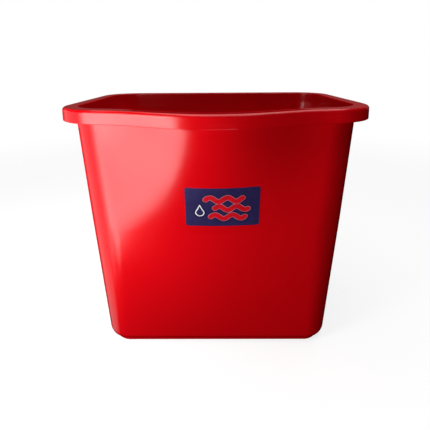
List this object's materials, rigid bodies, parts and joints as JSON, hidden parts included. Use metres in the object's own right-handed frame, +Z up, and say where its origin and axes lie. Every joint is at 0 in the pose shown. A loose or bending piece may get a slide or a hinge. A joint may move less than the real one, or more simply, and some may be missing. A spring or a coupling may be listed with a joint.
{
  "type": "plastic tub",
  "caption": "Open tapered tub of satin red plastic with rounded corners, a turned-down rim that bows out at the front, a foot ring and a small dark printed label.",
  "frame": {"origin": "middle of the overall length and width, on the surface that the foot ring stands on", "axes": "+X to the right along the wide way, +Y to the flat back, +Z up; the bowed front with the label faces -Y"},
  "size_m": [0.356, 0.286, 0.31],
  "materials": {
    "red_plastic": "satin moulded polypropylene",
    "label_film": "printed vinyl film with a satin face"
  },
  "bodies": {
    "root": {"tub": "red_plastic", "front_label": "label_film"}
  },
  "joints": []
}
